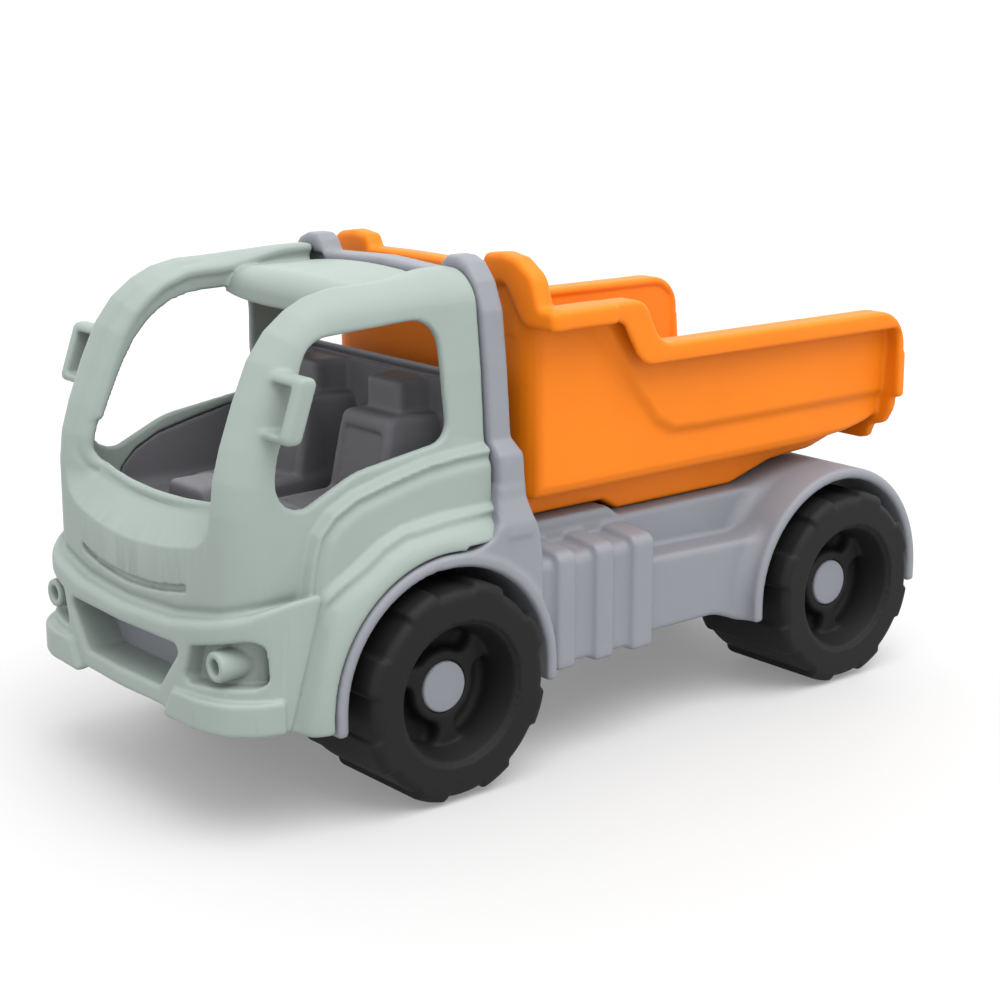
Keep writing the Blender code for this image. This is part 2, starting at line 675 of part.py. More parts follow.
def wheel(name, side, axle_y, finish):
    """Hollow moulded wheel with a lugged tread and three spokes in its dish."""
    profile = [(side * x, radius) for x, radius in wheel_profile()]
    steps = STEPS_PER_LUG * TREAD_LUGS
    made = solid(name, turned(profile, axle_y, TYRE_RADIUS, steps, tread), finish, (0.0, axle_y, TYRE_RADIUS))
    join(made, *[hub_spoke(side, axle_y, angle) for angle in HUB_SPOKE_ANGLES])
    return smooth(made)


def hub_cap(name, side, axle_y, finish):
    """Grey cap pressed over the axle's end, seated in the wheel's hub."""
    centre = (axle_y, TYRE_RADIUS)
    disc = rod("X", centre, HUB_CAP_RADIUS, *mirrored_span(side, HUB_CAP_SEAT_X, HUB_CAP_FACE_X))
    cap = solid(name, disc, finish, (0.0,) + centre)
    socket = mirrored_span(side, HUB_CAP_SEAT_X - 3.0, AXLE_END_X + GAP)
    cut(cap, rod("X", centre, AXLE_RADIUS + 0.05, *socket))
    return smooth(cap)


def axle(name, axle_y, finish):
    bar = rod("X", (axle_y, TYRE_RADIUS), AXLE_RADIUS, -AXLE_END_X, AXLE_END_X)
    return smooth(solid(name, bar, finish, (0.0, axle_y, TYRE_RADIUS)))


def axle_retainer(name, axle_y, finish):
    """Grey plate screwed up under the spine, with two prongs that close the axle's slots."""
    half_y = RETAINER_SCREW_Y + 5.0
    inner_x = SPINE_HALF_WIDTH - WALL - GAP
    plate = solid(name, box((-inner_x, inner_x), (axle_y - half_y, axle_y + half_y), (24.4, 28.6)), finish)
    for side in (-1, 1):
        tongue = mirrored_span(side, inner_x - 1.0, SPINE_HALF_WIDTH)
        join(plate, box(tongue, (axle_y - 1.8, axle_y + 1.8), (24.4, 30.2)))
    for screw_y in (axle_y - RETAINER_SCREW_Y, axle_y + RETAINER_SCREW_Y):
        cut(plate, rod("Z", (0.0, screw_y), SCREW_SHANK_RADIUS + 0.15, 20.0, 30.0, 12))
    return plate


def screw(name, x, y, seat_z, length, finish):
    """Self-tapping screw driven upwards: pan head below, shank above."""
    head = solid(name, rod("Z", (x, y), SCREW_HEAD_RADIUS, seat_z - 2.1, seat_z - GAP / 3, 16), finish)
    join(head, rod("Z", (x, y), SCREW_SHANK_RADIUS, seat_z - 1.0, seat_z + length, 12))
    cut(head, box((x - 1.7, x + 1.7), (y - 0.35, y + 0.35), (seat_z - 3.0, seat_z - 1.2)))
    cut(head, box((x - 0.35, x + 0.35), (y - 1.7, y + 1.7), (seat_z - 3.0, seat_z - 1.2)))
    return smooth(head)


def hinge_pin(finish):
    bar = rod("X", (HINGE_Y, HINGE_Z), HINGE_PIN_RADIUS, -CHEEK_X[1], CHEEK_X[1])
    return smooth(solid("bin_hinge_pin", bar, finish, (0.0, HINGE_Y, HINGE_Z)))


def build():
    clear_scene()
    sage = material("sage_plastic", SAGE, 0.55)
    grey = material("grey_plastic", GREY, 0.55)
    orange = material("orange_plastic", ORANGE, 0.5)
    black = material("black_plastic", BLACK, 0.6)
    steel = material("bright_steel", STEEL, 0.3, 1.0)
    chassis(grey)
    collar(grey)
    cab_shell(sage)
    cab_interior(grey)
    dump_bin(orange)
    hinge_pin(steel)
    for place, axle_y in (("front", FRONT_AXLE_Y), ("rear", REAR_AXLE_Y)):
        axle(place + "_axle", axle_y, steel)
        axle_retainer(place + "_axle_retainer", axle_y, grey)
        for number, offset in ((1, -RETAINER_SCREW_Y), (2, RETAINER_SCREW_Y)):
            screw(f"{place}_retainer_screw_{number}", 0.0, axle_y + offset, 24.4, 18.0, steel)
        for hand, side in (("left", 1), ("right", -1)):
            wheel(f"wheel_{place}_{hand}", side, axle_y, black)
            hub_cap(f"hub_cap_{place}_{hand}", side, axle_y, grey)
    for hand, side in (("left", 1), ("right", -1)):
        screw(f"cab_screw_{hand}", side * CAB_SCREW_X, CAB_SCREW_Y, 33.0, 16.0, steel)


build()
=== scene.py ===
"""Looks of the toy dump truck: soft-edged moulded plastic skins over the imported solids.

Each moulding is described by a field of signed distances in millimetres, sampled on a grid over
the truck's +X half and mirrored. Outlines are extruded, joined and cut with rounded edges, and
the zero level of the field is skinned with quads. The nose points to -Y and +Z is up.
"""
import math

import bmesh
import bpy
import numpy as np
from mathutils import Matrix, Vector


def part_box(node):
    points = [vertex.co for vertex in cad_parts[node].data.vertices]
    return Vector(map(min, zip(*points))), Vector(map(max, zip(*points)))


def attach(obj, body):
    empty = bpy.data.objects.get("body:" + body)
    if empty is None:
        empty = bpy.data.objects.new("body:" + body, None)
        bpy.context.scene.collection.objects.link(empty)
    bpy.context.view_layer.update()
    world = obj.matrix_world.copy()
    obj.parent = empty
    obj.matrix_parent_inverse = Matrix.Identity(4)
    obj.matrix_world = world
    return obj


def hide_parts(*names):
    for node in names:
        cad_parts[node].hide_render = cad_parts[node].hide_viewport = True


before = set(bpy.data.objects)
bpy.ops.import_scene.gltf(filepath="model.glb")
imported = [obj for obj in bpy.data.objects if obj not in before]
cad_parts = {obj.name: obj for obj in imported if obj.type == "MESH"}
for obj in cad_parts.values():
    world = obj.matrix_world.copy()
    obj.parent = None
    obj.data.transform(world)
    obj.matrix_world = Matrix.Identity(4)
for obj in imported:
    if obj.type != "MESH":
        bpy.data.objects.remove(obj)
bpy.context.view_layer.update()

MM = 0.001


def corners(node):
    """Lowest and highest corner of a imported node, in millimetres."""
    low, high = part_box(node)
    return np.array(low) / MM, np.array(high) / MM


def centre_yz(node):
    """(y, z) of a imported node's middle, in millimetres."""
    low, high = corners(node)
    return (low[1] + high[1]) / 2, (low[2] + high[2]) / 2


FRONT_AXLE_Y, WHEEL_Z = centre_yz("wheel_front_left")
REAR_AXLE_Y = centre_yz("wheel_rear_left")[0]
CAB_REAR_Y = corners("cab_shell")[1][1]
TYRE_INNER_X = corners("wheel_front_left")[0][0]
TYRE_OUTER_X = corners("wheel_front_left")[1][0]
WALL = 2.6                              # thickness of the mouldings
PIN_HOLE_RADIUS = 2.1                   # holes round the axles and the hinge pin
MARGIN_STEPS = 2.5                      # empty samples around a shape
FAR = 60.0                              # added to a distance where a cut is not wanted


# ---------------------------------------------------------------- fields

class Grid:
    """Sample points over the +X half of a moulding, as arrays that broadcast to a block."""

    def __init__(self, high_x, y_span, z_span, step):
        margin = MARGIN_STEPS * step
        self.x = np.arange(0.0, high_x + margin, step)
        self.y = np.arange(y_span[0] - margin, y_span[1] + margin, step)
        self.z = np.arange(z_span[0] - margin, z_span[1] + margin, step)
        self.step = step
        self.spread()

    def crop_x(self, low_x):
        """Leave out the samples inboard of a shape that stays clear of the mirror plane."""
        self.x = np.arange(low_x - MARGIN_STEPS * self.step, self.x[-1], self.step)
        self.spread()

    def spread(self):
        """Shape the coordinates so that they broadcast against each other."""
        self.X = self.x[:, None, None]
        self.Y = self.y[None, :, None]
        self.Z = self.z[None, None, :]

    def plane(self, axis):
        """The two coordinates across an axis, in order."""
        return {"X": (self.Y, self.Z), "Y": (self.X, self.Z), "Z": (self.X, self.Y)}[axis]

    def along(self, axis):
        """The coordinate along an axis."""
        return {"X": self.X, "Y": self.Y, "Z": self.Z}[axis]

    def by_x(self, places, values):
        """Values interpolated between places along x."""
        return np.interp(self.x, places, values)[:, None, None]

    def by_y(self, places, values):
        """Values interpolated between places along y."""
        return np.interp(self.y, places, values)[None, :, None]

    def by_z(self, places, values):
        """Values interpolated between heights."""
        return np.interp(self.z, places, values)[None, None, :]


def outline_distance(points, u, v):
    """Signed distance from a closed outline, negative inside."""
    u, v = np.broadcast_arrays(u, v)
    nearest = np.full(u.shape, np.inf)
    inside = np.zeros(u.shape, bool)
    for start, end in zip(points, points[1:] + points[:1]):
        run, rise = end[0] - start[0], end[1] - start[1]
        share = np.clip(((u - start[0]) * run + (v - start[1]) * rise) / (run * run + rise * rise), 0, 1)
        reach = (u - start[0] - share * run) ** 2 + (v - start[1] - share * rise) ** 2
        nearest = np.minimum(nearest, reach)
        if rise:
            inside ^= ((start[1] > v) != (end[1] > v)) & (u < run * (v - start[1]) / rise + start[0])
    return np.where(inside, -1, 1) * np.sqrt(nearest)


def meet(a, b, radius=1.0):
    """Intersection whose outer edge is rounded."""
    edge = np.hypot(np.maximum(a + radius, 0), np.maximum(b + radius, 0))
    return np.minimum(np.maximum(a, b), -radius) + edge


def join(a, b, radius=1.0):
    """Union whose inner corner is filleted."""
    return -meet(-a, -b, radius)


def cut(a, b, radius=1.0):
    """The first shape without the second, with a rounded rim."""
    return meet(a, -b, radius)


def slab(values, low, high):
    """Distance from the span between two limits."""
    return np.maximum(low - values, values - high)


def prism(grid, outline, axis, low, high, radius=1.0):
    """An outline extruded along an axis, with rounded edges."""
    flat = outline_distance(outline, *grid.plane(axis))
    return meet(flat, slab(grid.along(axis), low, high), radius)


def block(grid, x, y, z, radius=1.0):
    """Box between two limits on each axis, with rounded edges."""
    flat = meet(slab(grid.X, *x), slab(grid.Y, *y), radius)
    return meet(flat, slab(grid.Z, *z), radius)


def rod(grid, axis, centre, size, low, high, radius=0.6):
    """Round bar along an axis."""
    u, v = grid.plane(axis)
    return meet(np.hypot(u - centre[0], v - centre[1]) - size, slab(grid.along(axis), low, high), radius)


def front_axle_distance(grid):
    """Distance from the centre line of the front axle."""
    return np.hypot(grid.Y - FRONT_AXLE_Y, grid.Z - WHEEL_Z)


def arch_distance(grid, axle_y):
    """Distance from an axle above its centre, and from the plane through it below."""
    return np.hypot(grid.Y - axle_y, np.maximum(grid.Z - WHEEL_Z, 0))


def bell(value, width):
    """Smooth bump of height 1 around zero."""
    return np.exp(-(value / width) ** 2)


def ease(value):
    """Smooth step from 0 to 1 as the value goes from 0 to 1."""
    held = np.clip(value, 0, 1)
    return held * held * (3 - 2 * held)


def arc(centre, radius, start, end, steps=12):
    """Points on a circle between two angles in degrees."""
    angles = np.radians(np.linspace(start, end, steps + 1))
    return [(centre[0] + radius * math.cos(a), centre[1] + radius * math.sin(a)) for a in angles]


def rounded(points, steps=5):
    """Outline whose (u, v, radius) corners are drawn as arcs."""
    path = []
    for index, corner in enumerate(points):
        here = Vector(corner[:2])
        radius = corner[2] if len(corner) > 2 else 0.0
        if not radius:
            path.append(tuple(here))
            continue
        before = (Vector(points[index - 1][:2]) - here).normalized()
        after = (Vector(points[(index + 1) % len(points)][:2]) - here).normalized()
        half = before.angle(after) / 2
        setback = radius / math.tan(half)
        centre = here + (before + after).normalized() * radius / math.sin(half)
        first = here + before * setback - centre
        last = here + after * setback - centre
        turn = first.angle_signed(last)
        for step in range(steps + 1):
            angle = -turn * step / steps
            spoke = Vector((first.x * math.cos(angle) - first.y * math.sin(angle),
                            first.x * math.sin(angle) + first.y * math.cos(angle)))
            path.append(tuple(centre + spoke))
    return path


# ---------------------------------------------------------------- skinning

def skin(name, grid, field, material, share_kept=1.0, mirror=True):
    """Quads over the zero level of a field and its mirror image: a vertex in each cell it crosses."""
    axes = [grid.x, grid.y, grid.z]
    if mirror:
        axes[0] = np.concatenate((-grid.x[:0:-1], grid.x))
        field = np.concatenate((field[:0:-1], field))
    cells = tuple(size - 1 for size in field.shape)
    total = [np.zeros(cells).ravel() for _ in range(3)]
    count = np.zeros(cells).ravel()
    walls = []
    for axis in range(3):
        low = np.delete(np.arange(field.shape[axis]), -1)
        here = np.take(field, low, axis)
        there = np.take(field, low + 1, axis)
        at = np.argwhere((here < 0) != (there < 0))
        near = here[tuple(at.T)]
        share = near / (near - there[tuple(at.T)])
        place = [axes[k][at[:, k]] for k in range(3)]
        place[axis] = place[axis] + share * (axes[axis][at[:, axis] + 1] - axes[axis][at[:, axis]])
        side_a, side_b = [k for k in range(3) if k != axis]
        ring = []
        for back_a, back_b in ((0, 0), (1, 0), (1, 1), (0, 1)):
            cell = at.copy()
            cell[:, side_a] -= back_a
            cell[:, side_b] -= back_b
            flat = np.ravel_multi_index(tuple(cell.T), cells)
            ring.append(flat)
            count += np.bincount(flat, minlength=count.size)
            for k in range(3):
                total[k] += np.bincount(flat, weights=place[k], minlength=count.size)
        quads = np.stack(ring, 1)
        flip = (near < 0) if axis == 1 else (near >= 0)
        quads[flip] = quads[flip][:, ::-1]
        walls.append(quads)
    used = np.flatnonzero(count)
    index = np.full(count.size, -1)
    index[used] = np.arange(used.size)
    points = np.stack([total[k][used] / count[used] for k in range(3)], 1)
    mesh = bpy.data.meshes.new(name)
    mesh.from_pydata((points * MM).tolist(), [], index[np.concatenate(walls)].tolist())
    mesh.shade_smooth()
    mesh.materials.append(material)
    made = bpy.data.objects.new(name, mesh)
    bpy.context.scene.collection.objects.link(made)
    if share_kept < 1.0:
        thin_out(made, share_kept)
    return made


def thin_out(made, share):
    """Collapse edges on the flat stretches until this share of the triangles is left."""
    step = made.modifiers.new("thin_out", "DECIMATE")
    step.ratio = share
    graph = bpy.context.evaluated_depsgraph_get()
    thinner = bpy.data.meshes.new_from_object(made.evaluated_get(graph))
    made.modifiers.clear()
    made.data = thinner


# ---------------------------------------------------------------- materials

def plastic(name, colour, roughness, grain=0.02):
    """Moulded plastic: faint cloudiness in its colour and a fine satin grain on its surface."""
    made = bpy.data.materials.new(name)
    made.use_nodes = True
    nodes, links = made.node_tree.nodes, made.node_tree.links
    shader = nodes["Principled BSDF"]
    shader.inputs["Specular IOR Level"].default_value = 0.2
    where = nodes.new("ShaderNodeTexCoord")
    clouds = nodes.new("ShaderNodeTexNoise")
    clouds.inputs["Scale"].default_value = 28.0
    clouds.inputs["Detail"].default_value = 3.0
    links.new(where.outputs["Object"], clouds.inputs["Vector"])
    tint = nodes.new("ShaderNodeValToRGB")
    tint.color_ramp.elements[0].position = 0.3
    tint.color_ramp.elements[1].position = 0.7
    tint.color_ramp.elements[0].color = [part * 0.965 for part in colour] + [1.0]
    tint.color_ramp.elements[1].color = [min(part * 1.03, 1.0) for part in colour] + [1.0]
    links.new(clouds.outputs["Fac"], tint.inputs["Fac"])
    links.new(tint.outputs["Color"], shader.inputs["Base Color"])
    satin = nodes.new("ShaderNodeTexNoise")
    satin.inputs["Scale"].default_value = 900.0
    satin.inputs["Detail"].default_value = 2.0
    links.new(where.outputs["Object"], satin.inputs["Vector"])
    dull = nodes.new("ShaderNodeMapRange")
    dull.inputs["To Min"].default_value = roughness - 0.06
    dull.inputs["To Max"].default_value = roughness + 0.06
    links.new(satin.outputs["Fac"], dull.inputs["Value"])
    links.new(dull.outputs["Result"], shader.inputs["Roughness"])
    bump = nodes.new("ShaderNodeBump")
    bump.inputs["Strength"].default_value = grain
    bump.inputs["Distance"].default_value = 0.0002
    links.new(satin.outputs["Fac"], bump.inputs["Height"])
    links.new(bump.outputs["Normal"], shader.inputs["Normal"])
    return made


def steel(name):
    """Drawn steel with fine lines round the bar."""
    made = bpy.data.materials.new(name)
    made.use_nodes = True
    nodes, links = made.node_tree.nodes, made.node_tree.links
    shader = nodes["Principled BSDF"]
    shader.inputs["Metallic"].default_value = 1.0
    where = nodes.new("ShaderNodeTexCoord")
    stretch = nodes.new("ShaderNodeMapping")
    stretch.inputs["Scale"].default_value = (60.0, 2500.0, 2500.0)
    lines = nodes.new("ShaderNodeTexNoise")
    lines.inputs["Scale"].default_value = 1.0
    links.new(where.outputs["Object"], stretch.inputs["Vector"])
    links.new(stretch.outputs["Vector"], lines.inputs["Vector"])
    tint = nodes.new("ShaderNodeValToRGB")
    tint.color_ramp.elements[0].color = (0.42, 0.42, 0.44, 1.0)
    tint.color_ramp.elements[1].color = (0.66, 0.66, 0.68, 1.0)
    dull = nodes.new("ShaderNodeMapRange")
    dull.inputs["To Min"].default_value = 0.22
    dull.inputs["To Max"].default_value = 0.42
    links.new(lines.outputs["Fac"], tint.inputs["Fac"])
    links.new(tint.outputs["Color"], shader.inputs["Base Color"])
    links.new(lines.outputs["Fac"], dull.inputs["Value"])
    links.new(dull.outputs["Result"], shader.inputs["Roughness"])
    return made


SAGE = plastic("sage_moulding", (0.208, 0.246, 0.227), 0.5)
GREY = plastic("grey_moulding", (0.175, 0.182, 0.202), 0.5)
# Darker copy of the chassis grey for the tub and seats: painted shade inside the cab.
CABIN_SHADE_GREY = plastic("cabin_moulding_shaded", (0.105, 0.105, 0.114), 0.55)
ORANGE = plastic("orange_moulding", (0.62, 0.148, 0.001), 0.55)
BLACK = plastic("tyre_moulding", (0.005, 0.005, 0.005), 0.65, 0.05)
STEEL = steel("drawn_steel")


# ---------------------------------------------------------------- cab

RIDGE_X = 40.5                          # outer edge of the windscreen surround
SIDE_WINDOW = rounded([
    (-59.6, 103.2, 6), (-61.4, 138.2, 9), (-105.0, 136.0, 10), (-117.2, 106.0, 12),
    (-120.4, 89.2, 8), (-108.5, 91.2, 8), (-92.0, 98.6, 30),
])
NOSE_BULGE = 3.0
SURROUND_DEPTH = 9.0
CAB_ARCH_RADIUS = 40.5
LAMP_CENTRE = (45.0, 50.2)              # (x, z) of the headlamp tube


def cab_profile():
    """Y-Z outline of the cab at the windscreen surround's outer edge."""
    return [
        (-20.0, 20.0), (-20.0, 150.0), (-72.0, 150.2), (-92.0, 149.2), (-100.8, 147.2),
        (-107.3, 144.0), (-114.0, 138.9), (-119.6, 131.5), (-124.4, 120.7), (-128.8, 109.0),
        (-131.4, 100.0), (-132.4, 91.0), (-132.4, 20.0),
    ]


def bumper_plan():
    """X-Y outline of the bumper."""
    return [
        (-30.0, -20.0), (59.0, -20.0), (59.2, -112.0, 30), (58.6, -119.0, 20), (56.4, -125.6, 14),
        (52.8, -130.6, 14), (47.6, -134.4, 18), (41.0, -136.6, 30), (26.0, -138.4, 60), (0.0, -139.4, 60),
        (-30.0, -138.4),
    ]


def surround_recess(grid):
    """Depth of the windscreen surround, with a fine groove that leaves a lip round the opening."""
    surround_x = RIDGE_X + 2.0 * ease((grid.Y + 105.0) / 30.0)
    scoop_z = 77.2 + 3.2 * (grid.X / 32.0) ** 2
    gap = -meet(grid.X - surround_x, scoop_z - grid.Z, 9.0)
    slope = 0.95 - 0.5 * ease((grid.Y + 116.0) / 30.0) - 0.4 * ease((grid.Y + 80.0) / 26.0)
    depth = np.maximum(-meet(-np.maximum(gap, 0) * slope, -SURROUND_DEPTH, 2.5), 0)
    return depth + 0.55 * bell(screen_opening(grid) - 3.2, 0.8) * ease((-84.0 - grid.Y) / 4.0)


def side_reach(grid):
    """Half width of the cab, with the raised door panel, the brow below it and the wheel's flare."""
    tumble = grid.by_z([60, 98, 122, 142, 150], [52.6, 52.0, 50.4, 48.2, 46.8])
    door = outline_distance([
        (-20.0, 101.8), (-57.7, 100.9), (-69.2, 99.9), (-82.6, 97.2), (-95.0, 94.2), (-103.3, 90.0),
        (-108.6, 84.5), (-111.0, 77.0), (-113.0, 66.0), (-122.5, 33.0), (-122.5, 10.0), (-20.0, 10.0),
    ], grid.Y, grid.Z)
    brow = outline_distance([
        (-20.0, 84.6), (-66.4, 84.0), (-80.7, 82.6), (-88.5, 79.6), (-95.5, 75.2), (-103.0, 71.0),
        (-109.0, 67.0), (-112.4, 61.0), (-120.5, 33.0), (-120.5, 10.0), (-20.0, 10.0),
    ], grid.Y, grid.Z)
    reach = tumble + 3.0 * ease(-door / 2.4) - 1.1 * bell(door + 4.4, 1.5)
    reach = reach + 2.0 * ease(-brow / 2.4) - 1.1 * bell(brow + 4.4, 1.5)
    return reach + 3.6 * ease((52.0 - front_axle_distance(grid)) / 10.0)


def bumper_form(grid, groove_z):
    """Bumper below the groove, with a slanted rear end."""
    plan = outline_distance(rounded(bumper_plan(), 4), grid.X, grid.Y)
    bumper = meet(plan, (grid.Z - groove_z + 0.6) * 0.9, 3.0)
    return meet(bumper, (grid.Y + 108.0 + (70.0 - grid.Z) * 0.29) * 0.95, 2.0)


def bumper_foot(grid):
    """Low ledge that runs round the bumper's corner, from the grille mouth to the side."""
    corner = outline_distance(rounded([
        (20.0, -100.0), (20.0, -140.2), (42.0, -139.2, 20), (50.6, -136.4, 14), (57.0, -129.6, 14),
        (60.4, -119.0, 20), (60.8, -100.0),
    ], 5), grid.X, grid.Y)
    inner_end = (23.0 + (grid.Z - 31.0) * 0.6 - grid.X) * 0.85
    foot = meet(meet(corner, inner_end, 1.2), slab(grid.Z, 31.0, 40.2 + 0.02 * grid.X), 1.2)
    return meet(foot, grid.Y + 121.5, 1.5)


def cab_outside(grid):
    """Solid outer form of the cab, with the recessed windscreen surround and lamp pockets."""
    bulge = NOSE_BULGE * (1 - (grid.X / 40.0) ** 2)
    profile = outline_distance(cab_profile(), grid.Y + bulge, grid.Z)
    upper = meet(profile + surround_recess(grid), (grid.X - side_reach(grid)) * 0.97, 10.0)
    groove_z = grid.by_x([0, 25, 42, 52, 55.7, 59.5, 63], [59.8, 60.7, 63.5, 66.0, 68.2, 71.3, 75.0])
    form = join(upper, bumper_form(grid, groove_z), 1.0)
    form = form + 0.7 * bell(grid.Z - groove_z - 0.4, 1.3) * ease((-111.0 - grid.Y) / 5.0)
    # The foot is blended in at the front only, so that the side keeps its form behind it.
    faded = form + 30.0 * ease((grid.Y + 113.0) / 6.0)
    form = np.minimum(form, np.where(grid.Y < -109.0, join(faded, bumper_foot(grid), 0.8), form))
    lamp = rounded([(35.4, 54.2, 2), (55.4, 58.6, 3), (56.0, 45.0, 3), (32.0, 43.2, 2)])
    pocket = np.maximum(outline_distance(lamp, grid.X, grid.Z), -(form + 6.4))
    form = cut(form, np.maximum(pocket, grid.Y + 112.0), 1.0)
    mouth = rounded([(31.6, 53.2, 2), (20.5, 39.2, 3), (-20.5, 39.2, 3), (-31.6, 53.2, 2)])
    return cut(form, prism(grid, mouth, "Y", -160.0, -124.0, 1.0), 1.5)


def screen_opening(grid):
    """Distance from the opening of the windscreen and roof, seen from the front."""
    sill = 89.3 + 1.8 * (grid.X / 31.0) ** 2
    screen_x = grid.by_z([95, 128, 142], [34.6, 34.0, 33.0])
    return meet(grid.X - screen_x, sill - grid.Z, 5.0)


def mirror_bracket(grid):
    """Open loop that stands out from the windscreen pillar."""
    outer = rounded([(-122.2, 111.2, 2), (-116.0, 111.2, 2), (-109.8, 128.8, 2), (-116.0, 128.8, 2)])
    inner = [(-130.0, 113.8), (-108.0, 113.8), (-103.0, 126.2), (-130.0, 126.2)]
    loop = prism(grid, outer, "X", 44.0, 61.2, 1.4)
    return cut(loop, prism(grid, inner, "X", 30.0, 57.6, 0.8), 0.8)


def roof_panel(grid, outside):
    """Sunk roof between the rails, with its front edge turned down, and the rails' inner webs."""
    crown = 147.2 - 2.4 * (grid.X / 33.0) ** 2
    front = -83.5 + 5.5 * (grid.X / 33.0) ** 2
    top = meet(grid.Z - crown, (front - grid.Y) * 0.98, 7.0)
    panel = np.maximum(top, -(top + WALL))
    panel = meet(panel, np.maximum(136.8 - grid.Z, grid.Y - CAB_REAR_Y), 1.0)
    drop = grid.by_z([104.0, 120.0, 143.0], [2.0, 3.4, 8.0])
    web = np.maximum(np.maximum(-outside - drop, outside + 0.3), 104.0 - grid.Z)
    web = np.maximum(meet(slab(grid.X, 33.4, 36.0), web, 0.6), grid.Y - CAB_REAR_Y)
    return meet(join(panel, web, 1.0), grid.X - 43.0, 0.4)


def cab_shell():
    """Sage cab: a thin moulding, open at the windows, the rear and underneath."""
    grid = Grid(63.0, (-141.0, CAB_REAR_Y + 1.0), (27.5, 151.0), 0.66)
    outside = cab_outside(grid)
    shell = cut(outside, outside + WALL, 0.3)
    shell = cut(shell, screen_opening(grid), 1.1)
    shell = join(shell, roof_panel(grid, outside), 1.0)
    window = outline_distance(SIDE_WINDOW, grid.Y, grid.Z)
    shell = cut(shell, window + np.where(grid.X < 37.0, FAR, 0.0), 1.1)
    tunnel = rounded([(30.0, 52.0, 2), (20.0, 40.4, 2), (-20.0, 40.4, 2), (-30.0, 52.0, 2)])
    shell = cut(shell, prism(grid, tunnel, "Y", -140.0, -110.0, 0.5), 0.5)
    slot_z = 65.1 + 3.2 * (grid.X / 29.0) ** 2
    slot = meet(slab(grid.Z, slot_z - 1.0, slot_z + 1.0), grid.X - 28.8, 0.5)
    shell = cut(shell, np.maximum(slot, np.maximum(grid.Y + 120.0, -(outside + 1.8))), 0.3)
    lamp = rod(grid, "Y", LAMP_CENTRE, 4.4, -135.6, -125.0, 0.8)
    shell = join(shell, lamp, 0.5)
    shell = cut(shell, rod(grid, "Y", LAMP_CENTRE, 2.2, -140.0, -130.0, 0.3), 0.7)
    shell = join(shell, mirror_bracket(grid), 1.2)
    base_z = 28.6 + 3.0 * ease((-112.0 - grid.Y) / 10.0) + 2.0 * ease((26.0 - grid.X) / 5.0)
    shell = meet(shell, (base_z - grid.Z) * 0.97, 1.0)
    wheel_arch = front_axle_distance(grid) - CAB_ARCH_RADIUS
    below = np.maximum(slab(grid.Y, FRONT_AXLE_Y - CAB_ARCH_RADIUS, 0.0), grid.Z - WHEEL_Z)
    well = join(wheel_arch, below, 0.2)
    shell = cut(shell, well + np.where(grid.X < 20.0, FAR, 0.0), 1.0)
    rear = meet(grid.Y - CAB_REAR_Y - 0.9, 73.6 - grid.Z, 6.0)
    shell = meet(shell, join(rear, grid.Y + 60.0, 0.5), 1.0)
    made = skin("cab_skin", grid, shell, SAGE, 0.42)
    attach(made, "truck")
    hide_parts("cab_shell")


# ---------------------------------------------------------------- chassis and collar

FENDER_INNER_X = 20.0
FENDER_OUTER_X = 61.6
FENDER_RADIUS = 39.9
WELL_RADIUS = 36.3
REAR_WELL_INNER_X = 18.0
AXLE_SLOT_RADIUS = 2.2
FENDER_END_Z = 27.0
UPPER_WALL_X = 44.0
SPINE_X = 21.0
SPINE_TOP = {"front": 74.0, "rear": 60.5}


def front_fender(grid):
    """Front mudguard: an arch with straight ends."""
    around = arch_distance(grid, FRONT_AXLE_Y)
    shell = meet(meet(around - FENDER_RADIUS, WELL_RADIUS - around, 1.2), FENDER_END_Z - grid.Z, 1.2)
    return meet(shell, slab(grid.X, FENDER_INNER_X, FENDER_OUTER_X), 1.2)


def front_well(grid):
    """Round space that the front wheel turns in."""
    return front_axle_distance(grid) - WELL_RADIUS


def side_beams(grid):
    """Open-bottomed tray between the wheels: a ledge, a set-back upper wall and a rail by the bin."""
    low_z = 31.0 - 4.0 * ease((grid.Y - 44.0) / 16.0)
    ledge = meet(grid.X - 55.0, grid.Z - 55.2 + 0.03 * (grid.Y - 18.0), 1.8)
    wall = meet(grid.X - UPPER_WALL_X, grid.Z - 67.4, 1.6)
    beam = meet(meet(join(ledge, wall, 1.4), low_z - grid.Z, 1.0), slab(grid.Y, -40.0, REAR_AXLE_Y), 1.0)
    wide = meet(grid.X - 52.4, grid.Z - 52.4, 1.0)
    hollow = join(wide, meet(grid.X - UPPER_WALL_X + WALL, grid.Z - 64.8, 1.5), 1.0)
    beam = cut(beam, np.maximum(hollow, slab(grid.Y, -27.0, 59.4)), 0.6)
    crest = rounded([(-40.0, 60.0), (-40.0, 71.0), (9.4, 71.0, 2.5), (15.4, 66.6, 3.0), (15.4, 60.0)])
    rail = meet(outline_distance(crest, grid.Y, grid.Z), slab(grid.X, 34.0, UPPER_WALL_X), 1.6)
    return join(beam, rail, 0.8)


def side_tank(grid):
    """Ribbed tank on the side beam: a flat-topped box with three broad uprights."""
    outline = rounded([(40.0, 28.4), (59.6, 28.4, 1.2), (59.6, 64.8, 3.2), (43.0, 66.0), (40.0, 66.0)])
    sunk = rounded([(40.0, 29.4), (57.6, 29.4, 1.2), (57.6, 62.8, 3.0), (43.0, 64.0), (40.0, 64.0)])
    tank = prism(grid, sunk, "Y", -34.0, 12.0, 1.0)
    for low, high in ((-25.2, -17.6), (-9.8, -2.0), (5.4, 14.4)):
        rib = meet(outline_distance(outline, grid.X, grid.Z), slab(grid.Y, low, high), 1.4)
        tank = join(tank, rib, 1.6)
    return cut(tank, block(grid, (-5.0, 54.8), (-26.0, 11.0), (0.0, 60.0), 0.8), 0.6)


